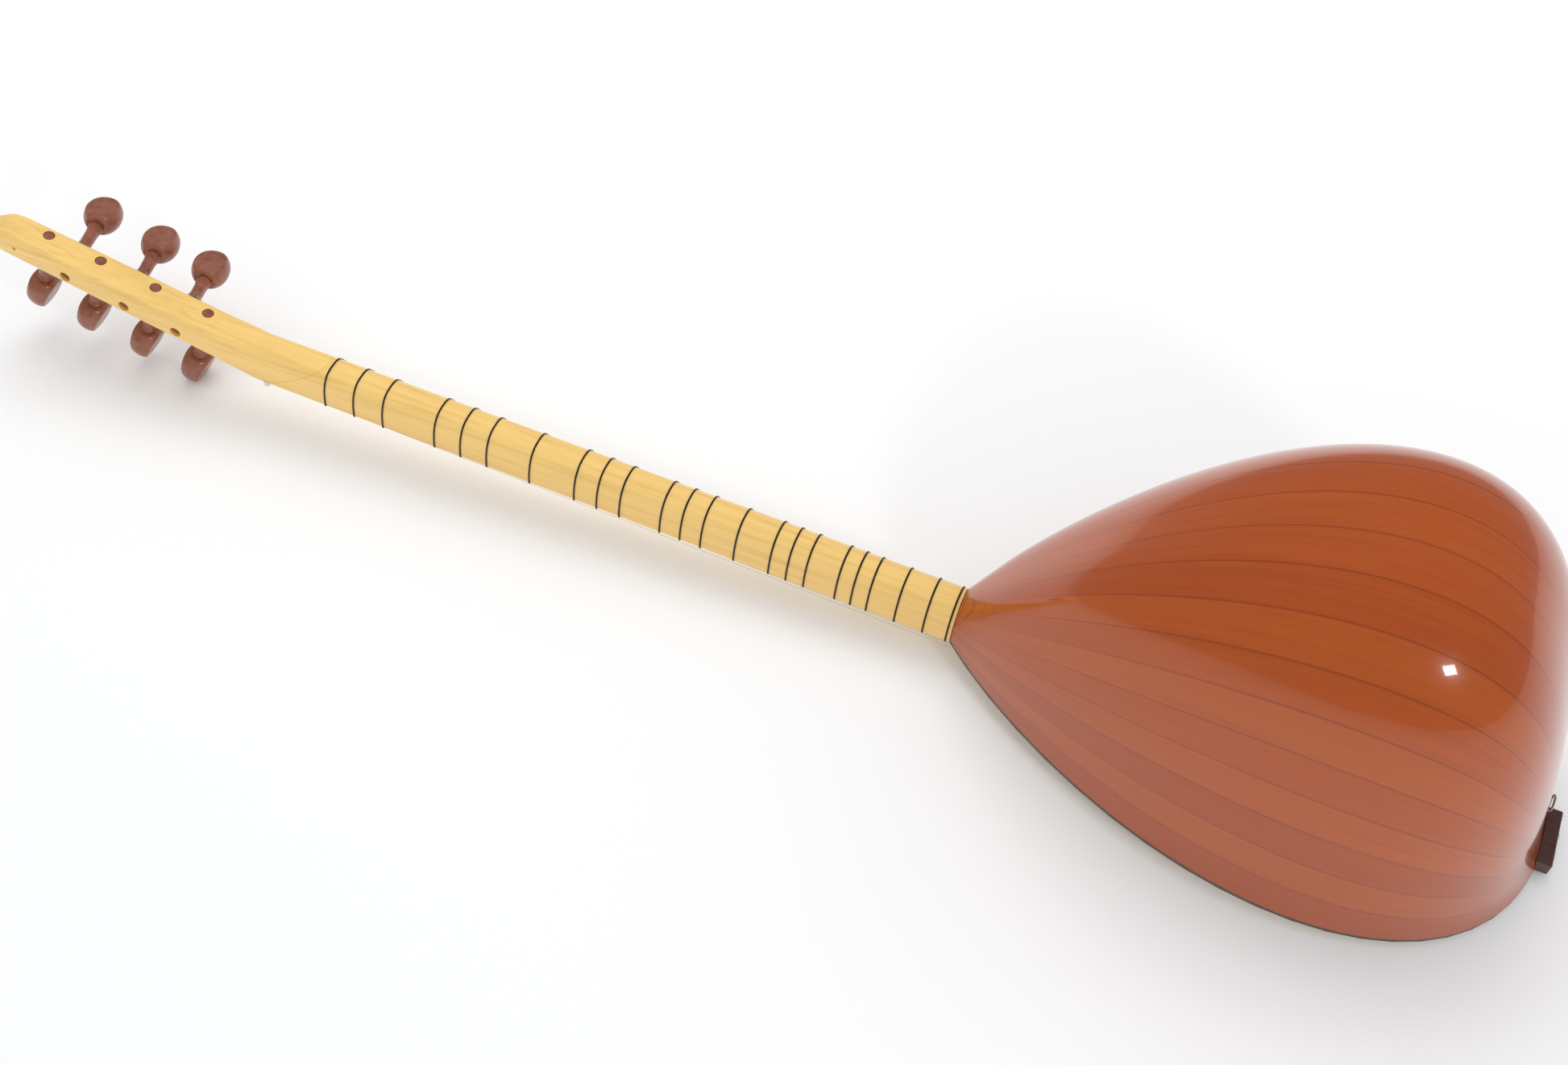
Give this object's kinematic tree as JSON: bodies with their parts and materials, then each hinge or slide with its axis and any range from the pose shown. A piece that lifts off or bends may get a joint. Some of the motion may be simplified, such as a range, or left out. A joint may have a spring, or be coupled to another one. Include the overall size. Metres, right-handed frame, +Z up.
{
  "type": "saz long-necked lute",
  "caption": "Long-necked lute with a deep staved bowl, tied frets, leaning pegs and a bent-back head, lying face down.",
  "frame": {"origin": "centre of the bounding box's underside, where the instrument rests face down", "axes": "+X along the neck towards the tail, +Y towards the side pegs' knobs, +Z up"},
  "size_m": [1.228, 0.2646, 0.2751],
  "materials": {
    "red_lacquer": "glossy red-brown lacquer",
    "blond_wood": "satin varnish",
    "spruce": "bare softwood",
    "peg_wood": "oiled dark wood",
    "dark_wood": "oiled dark wood",
    "dark_binding": "satin",
    "black_nylon": "nylon line",
    "pale_bone": "polished bone",
    "string_steel": "bright wire",
    "wound_string": "pale wound wire"
  },
  "bodies": {
    "instrument": {"bowl_shell": "red_lacquer", "heel_block": "spruce", "tail_block": "spruce", "edge_binding": "dark_binding", "soundboard": "spruce", "brace_front": "spruce", "brace_rear": "spruce", "neck": "blond_wood", "head": "blond_wood", "nut": "pale_bone", "tailpiece": "dark_wood", "strap_eye": "string_steel", "string_front_peg_1": "string_steel", "string_front_peg_2": "string_steel", "string_front_peg_3": "string_steel", "string_front_peg_4": "string_steel", "string_side_peg_1": "wound_string", "string_side_peg_2": "string_steel", "string_side_peg_3": "string_steel"},
    "bridge_body": {"bridge": "dark_wood"},
    "front_peg_1_body": {"front_peg_1": "peg_wood", "winding_front_peg_1": "string_steel"},
    "front_peg_2_body": {"front_peg_2": "peg_wood", "winding_front_peg_2": "string_steel"},
    "front_peg_3_body": {"front_peg_3": "peg_wood", "winding_front_peg_3": "string_steel"},
    "front_peg_4_body": {"front_peg_4": "peg_wood", "winding_front_peg_4": "string_steel"},
    "side_peg_1_body": {"side_peg_1": "peg_wood", "winding_side_peg_1": "wound_string"},
    "side_peg_2_body": {"side_peg_2": "peg_wood", "winding_side_peg_2": "string_steel"},
    "side_peg_3_body": {"side_peg_3": "peg_wood", "winding_side_peg_3": "string_steel"},
    "fret_01_body": {"fret_01": "black_nylon"},
    "fret_02_body": {"fret_02": "black_nylon"},
    "fret_03_body": {"fret_03": "black_nylon"},
    "fret_04_body": {"fret_04": "black_nylon"},
    "fret_05_body": {"fret_05": "black_nylon"},
    "fret_06_body": {"fret_06": "black_nylon"},
    "fret_07_body": {"fret_07": "black_nylon"},
    "fret_08_body": {"fret_08": "black_nylon"},
    "fret_09_body": {"fret_09": "black_nylon"},
    "fret_10_body": {"fret_10": "black_nylon"},
    "fret_11_body": {"fret_11": "black_nylon"},
    "fret_12_body": {"fret_12": "black_nylon"},
    "fret_13_body": {"fret_13": "black_nylon"},
    "fret_14_body": {"fret_14": "black_nylon"},
    "fret_15_body": {"fret_15": "black_nylon"},
    "fret_16_body": {"fret_16": "black_nylon"},
    "fret_17_body": {"fret_17": "black_nylon"},
    "fret_18_body": {"fret_18": "black_nylon"},
    "fret_19_body": {"fret_19": "black_nylon"},
    "fret_20_body": {"fret_20": "black_nylon"},
    "fret_21_body": {"fret_21": "black_nylon"},
    "fret_22_body": {"fret_22": "black_nylon"},
    "fret_23_body": {"fret_23": "black_nylon"}
  },
  "joints": [
    {"name": "bridge_slide", "type": "slide", "parent": "instrument", "child": "bridge_body", "axis": [0.9991, 0, -0.0428], "range_m": [-0.0015, 0.0015]},
    {"name": "front_peg_1_turn", "type": "hinge", "parent": "instrument", "child": "front_peg_1_body", "pos_m": [-0.43349, 0.0046, 0.07957], "axis": [-0.3232, 0, -0.9463], "continuous": true},
    {"name": "front_peg_2_turn", "type": "hinge", "parent": "instrument", "child": "front_peg_2_body", "pos_m": [-0.47763, 0.0046, 0.08892], "axis": [-0.3232, 0, -0.9463], "continuous": true},
    {"name": "front_peg_3_turn", "type": "hinge", "parent": "instrument", "child": "front_peg_3_body", "pos_m": [-0.52375, 0.0046, 0.09868], "axis": [-0.3232, 0, -0.9463], "continuous": true},
    {"name": "front_peg_4_turn", "type": "hinge", "parent": "instrument", "child": "front_peg_4_body", "pos_m": [-0.5674, 0.0046, 0.10793], "axis": [-0.3232, 0, -0.9463], "continuous": true},
    {"name": "side_peg_1_turn", "type": "hinge", "parent": "instrument", "child": "side_peg_1_body", "pos_m": [-0.45232, -0.01241, 0.07007], "axis": [-0.1632, 0.9866, 0.007], "continuous": true},
    {"name": "side_peg_2_turn", "type": "hinge", "parent": "instrument", "child": "side_peg_2_body", "pos_m": [-0.49606, -0.01202, 0.07933], "axis": [-0.1632, 0.9866, 0.007], "continuous": true},
    {"name": "side_peg_3_turn", "type": "hinge", "parent": "instrument", "child": "side_peg_3_body", "pos_m": [-0.54586, -0.01142, 0.08988], "axis": [-0.1632, 0.9866, 0.007], "continuous": true},
    {"name": "fret_01_slide", "type": "slide", "parent": "instrument", "child": "fret_01_body", "axis": [0.9991, 0, -0.0428], "range_m": [-0.003, 0.003]},
    {"name": "fret_02_slide", "type": "slide", "parent": "instrument", "child": "fret_02_body", "axis": [0.9991, 0, -0.0428], "range_m": [-0.003, 0.003]},
    {"name": "fret_03_slide", "type": "slide", "parent": "instrument", "child": "fret_03_body", "axis": [0.9991, 0, -0.0428], "range_m": [-0.003, 0.003]},
    {"name": "fret_04_slide", "type": "slide", "parent": "instrument", "child": "fret_04_body", "axis": [0.9991, 0, -0.0428], "range_m": [-0.003, 0.003]},
    {"name": "fret_05_slide", "type": "slide", "parent": "instrument", "child": "fret_05_body", "axis": [0.9991, 0, -0.0428], "range_m": [-0.003, 0.003]},
    {"name": "fret_06_slide", "type": "slide", "parent": "instrument", "child": "fret_06_body", "axis": [0.9991, 0, -0.0428], "range_m": [-0.003, 0.003]},
    {"name": "fret_07_slide", "type": "slide", "parent": "instrument", "child": "fret_07_body", "axis": [0.9991, 0, -0.0428], "range_m": [-0.003, 0.003]},
    {"name": "fret_08_slide", "type": "slide", "parent": "instrument", "child": "fret_08_body", "axis": [0.9991, 0, -0.0428], "range_m": [-0.003, 0.003]},
    {"name": "fret_09_slide", "type": "slide", "parent": "instrument", "child": "fret_09_body", "axis": [0.9991, 0, -0.0428], "range_m": [-0.003, 0.003]},
    {"name": "fret_10_slide", "type": "slide", "parent": "instrument", "child": "fret_10_body", "axis": [0.9991, 0, -0.0428], "range_m": [-0.003, 0.003]},
    {"name": "fret_11_slide", "type": "slide", "parent": "instrument", "child": "fret_11_body", "axis": [0.9991, 0, -0.0428], "range_m": [-0.003, 0.003]},
    {"name": "fret_12_slide", "type": "slide", "parent": "instrument", "child": "fret_12_body", "axis": [0.9991, 0, -0.0428], "range_m": [-0.003, 0.003]},
    {"name": "fret_13_slide", "type": "slide", "parent": "instrument", "child": "fret_13_body", "axis": [0.9991, 0, -0.0428], "range_m": [-0.003, 0.003]},
    {"name": "fret_14_slide", "type": "slide", "parent": "instrument", "child": "fret_14_body", "axis": [0.9991, 0, -0.0428], "range_m": [-0.003, 0.003]},
    {"name": "fret_15_slide", "type": "slide", "parent": "instrument", "child": "fret_15_body", "axis": [0.9991, 0, -0.0428], "range_m": [-0.003, 0.003]},
    {"name": "fret_16_slide", "type": "slide", "parent": "instrument", "child": "fret_16_body", "axis": [0.9991, 0, -0.0428], "range_m": [-0.003, 0.003]},
    {"name": "fret_17_slide", "type": "slide", "parent": "instrument", "child": "fret_17_body", "axis": [0.9991, 0, -0.0428], "range_m": [-0.003, 0.003]},
    {"name": "fret_18_slide", "type": "slide", "parent": "instrument", "child": "fret_18_body", "axis": [0.9991, 0, -0.0428], "range_m": [-0.003, 0.003]},
    {"name": "fret_19_slide", "type": "slide", "parent": "instrument", "child": "fret_19_body", "axis": [0.9991, 0, -0.0428], "range_m": [-0.003, 0.003]},
    {"name": "fret_20_slide", "type": "slide", "parent": "instrument", "child": "fret_20_body", "axis": [0.9991, 0, -0.0428], "range_m": [-0.003, 0.003]},
    {"name": "fret_21_slide", "type": "slide", "parent": "instrument", "child": "fret_21_body", "axis": [0.9991, 0, -0.0428], "range_m": [-0.003, 0.003]},
    {"name": "fret_22_slide", "type": "slide", "parent": "instrument", "child": "fret_22_body", "axis": [0.9991, 0, -0.0428], "range_m": [-0.003, 0.003]},
    {"name": "fret_23_slide", "type": "slide", "parent": "instrument", "child": "fret_23_body", "axis": [0.9991, 0, -0.0428], "range_m": [-0.003, 0.0015]}
  ]
}
